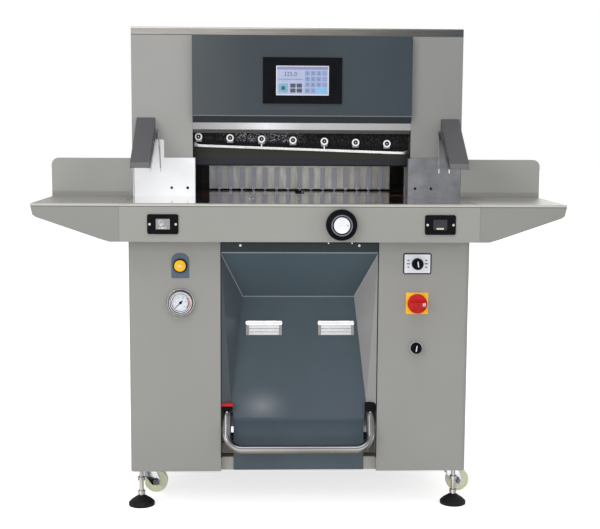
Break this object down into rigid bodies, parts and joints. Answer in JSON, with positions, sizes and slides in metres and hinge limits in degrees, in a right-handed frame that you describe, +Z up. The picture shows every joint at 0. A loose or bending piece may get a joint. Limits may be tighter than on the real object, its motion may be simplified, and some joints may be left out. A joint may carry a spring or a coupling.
{
  "type": "paper cutter",
  "caption": "Free-standing hydraulic paper cutter with a back gauge, clamp, slanted knife, side tables, touch panel, foot pedal and hinged rear cover.",
  "frame": {"origin": "centre of the whole machine's footprint, on the floor under the foot pads", "axes": "+X to the operator's right, +Y from the operator to the back, +Z up"},
  "size_m": [1.536, 1.2, 1.441],
  "materials": {
    "frame_green_grey": "semi-gloss",
    "grey_paint": "satin fine texture",
    "blue_grey_paint": "satin",
    "dark_grey_paint": "satin",
    "black_paint": "gloss",
    "brushed_steel": "brushed",
    "ground_steel": "ground",
    "polished_steel": "polished",
    "machined_block": "bead blasted",
    "aluminium": "anodised",
    "chrome": "bright",
    "zinc_plate": "zinc plated",
    "bronze": "machined",
    "black_plastic": "matte",
    "cream_plastic": "satin",
    "red_plastic": "gloss",
    "yellow_plastic": "gloss",
    "red_stick": "matte",
    "white_plastic": "satin",
    "black_rubber": "matte"
  },
  "bodies": {
    "machine": {"base_frame": "grey_paint", "left_side_frame": "frame_green_grey", "right_side_frame": "frame_green_grey", "upper_cross_beam": "frame_green_grey", "cutting_table": "polished_steel", "rear_table": "polished_steel", "cutting_stick": "red_stick", "side_guide_left": "machined_block", "side_guide_right": "machined_block", "left_cabinet_casing": "grey_paint", "right_cabinet_casing": "grey_paint", "cabinet_back_panel": "grey_paint", "centre_service_cover": "blue_grey_paint", "cover_pulls": "chrome", "front_beam_cover": "grey_paint", "left_side_table": "grey_paint", "right_side_table": "grey_paint", "tower_casing": "grey_paint", "tower_front_cover": "blue_grey_paint", "tower_top_lid": "brushed_steel", "throat_lintel": "aluminium", "touch_screen": "black_plastic", "light_guards": "dark_grey_paint", "guard_brackets": "aluminium", "cut_button_bezels": "black_plastic", "gauge_case": "chrome", "control_plates": "yellow_plastic", "oil_tank": "grey_paint", "pump_motor": "blue_grey_paint", "clamp_cylinder": "ground_steel", "knife_cylinder": "ground_steel", "backgauge_motor": "black_paint", "foot_pads": "black_rubber", "foot_stems": "zinc_plate", "cover_screws": "zinc_plate", "rear_caster_forks": "zinc_plate"},
    "knife_guide": {"knife_guide_shoes": "bronze"},
    "knife": {"knife_carrier": "black_paint", "knife_blade": "ground_steel", "knife_bolts": "chrome"},
    "clamp": {"clamp_beam": "dark_grey_paint"},
    "lead_screw": {"lead_screw": "ground_steel"},
    "backgauge": {"backgauge_comb": "aluminium", "backgauge_carriage": "bronze"},
    "foot_pedal": {"foot_pedal": "chrome"},
    "left_cut_button": {"left_cut_button": "white_plastic"},
    "right_cut_button": {"right_cut_button": "black_plastic"},
    "push_button": {"push_button": "yellow_plastic"},
    "program_selector": {"program_selector": "black_plastic"},
    "main_switch_knob": {"main_switch_knob": "red_plastic"},
    "key_selector": {"key_selector": "black_plastic"},
    "gauge_pointer": {"gauge_pointer": "black_paint"},
    "handwheel": {"handwheel": "black_plastic"},
    "rear_cover": {"rear_cover": "grey_paint"},
    "front_left_caster": {"front_left_caster_fork": "zinc_plate"},
    "front_right_caster": {"front_right_caster_fork": "zinc_plate"},
    "front_left_wheel": {"front_left_caster_wheel": "cream_plastic"},
    "front_right_wheel": {"front_right_caster_wheel": "cream_plastic"},
    "rear_left_wheel": {"rear_left_caster_wheel": "cream_plastic"},
    "rear_right_wheel": {"rear_right_caster_wheel": "cream_plastic"}
  },
  "joints": [
    {"name": "knife_travel", "type": "slide", "parent": "machine", "child": "knife_guide", "axis": [-0.1483, 0, -0.9889], "range_m": [0, 0.1375]},
    {"name": "knife_level", "type": "hinge", "parent": "knife_guide", "child": "knife", "pos_m": [0.2645, -0.17, 1.365], "axis": [0, -1, 0], "range_deg": [0, 1.83]},
    {"name": "clamp_travel", "type": "slide", "parent": "machine", "child": "clamp", "axis": [0, 0, -1], "range_m": [0, 0.094]},
    {"name": "screw_turn", "type": "hinge", "parent": "machine", "child": "lead_screw", "pos_m": [0.0145, 0.134, 0.835], "axis": [0, 1, 0], "range_deg": [-7350, 14046]},
    {"name": "backgauge_travel", "type": "slide", "parent": "machine", "child": "backgauge", "axis": [0, 1, 0], "range_m": [-0.2041, 0.3901]},
    {"name": "pedal_press", "type": "hinge", "parent": "machine", "child": "foot_pedal", "pos_m": [0, -0.316, 0.306], "axis": [1, 0, 0], "range_deg": [0, 7], "stiffness_Nm_per_rad": 20, "springref_deg": -17.19},
    {"name": "left_cut_press", "type": "slide", "parent": "machine", "child": "left_cut_button", "axis": [0, 1, 0], "range_m": [0, 0.004], "stiffness_N_per_m": 800, "springref_m": -0.001},
    {"name": "right_cut_press", "type": "slide", "parent": "machine", "child": "right_cut_button", "axis": [0, 1, 0], "range_m": [0, 0.004], "stiffness_N_per_m": 800, "springref_m": -0.001},
    {"name": "push_button_press", "type": "slide", "parent": "machine", "child": "push_button", "axis": [0, 1, 0], "range_m": [0, 0.004], "stiffness_N_per_m": 800, "springref_m": -0.001},
    {"name": "program_turn", "type": "hinge", "parent": "machine", "child": "program_selector", "pos_m": [0.3437, -0.536, 0.7403], "axis": [0, 1, 0], "range_deg": [-45, 45]},
    {"name": "main_switch_turn", "type": "hinge", "parent": "machine", "child": "main_switch_knob", "pos_m": [0.345, -0.536, 0.623], "axis": [0, 1, 0], "range_deg": [0, 90]},
    {"name": "key_turn", "type": "hinge", "parent": "machine", "child": "key_selector", "pos_m": [0.3433, -0.536, 0.4918], "axis": [0, 1, 0], "range_deg": [0, 90]},
    {"name": "pointer_turn", "type": "hinge", "parent": "machine", "child": "gauge_pointer", "pos_m": [-0.347, -0.526, 0.625], "axis": [0, 1, 0], "range_deg": [0, 270], "stiffness_Nm_per_rad": 0.0006, "springref_deg": -28.65},
    {"name": "handwheel_turn", "type": "hinge", "parent": "machine", "child": "handwheel", "pos_m": [0.117, -0.576, 0.858], "axis": [0, 1, 0], "continuous": true},
    {"name": "rear_cover_hinge", "type": "hinge", "parent": "machine", "child": "rear_cover", "pos_m": [0.0145, 0.084, 1.052], "axis": [1, 0, 0], "range_deg": [0, 75]},
    {"name": "front_left_swivel", "type": "hinge", "parent": "machine", "child": "front_left_caster", "pos_m": [-0.47, -0.366, 0.1], "axis": [0, 0, 1], "continuous": true},
    {"name": "front_right_swivel", "type": "hinge", "parent": "machine", "child": "front_right_caster", "pos_m": [0.47, -0.366, 0.1], "axis": [0, 0, 1], "continuous": true},
    {"name": "front_left_roll", "type": "hinge", "parent": "front_left_caster", "child": "front_left_wheel", "pos_m": [-0.438, -0.366, 0.042], "axis": [0, 1, 0], "continuous": true},
    {"name": "rear_left_roll", "type": "hinge", "parent": "machine", "child": "rear_left_wheel", "pos_m": [-0.438, 0.019, 0.042], "axis": [0, 1, 0], "continuous": true},
    {"name": "front_right_roll", "type": "hinge", "parent": "front_right_caster", "child": "front_right_wheel", "pos_m": [0.502, -0.366, 0.042], "axis": [0, 1, 0], "continuous": true},
    {"name": "rear_right_roll", "type": "hinge", "parent": "machine", "child": "rear_right_wheel", "pos_m": [0.502, 0.019, 0.042], "axis": [0, 1, 0], "continuous": true}
  ],
  "couplings": [
    {"joint": "knife_level", "follows": "knife_travel", "rad_per_m": 0.23116},
    {"joint": "screw_turn", "follows": "backgauge_travel", "rad_per_m": 628.32}
  ]
}
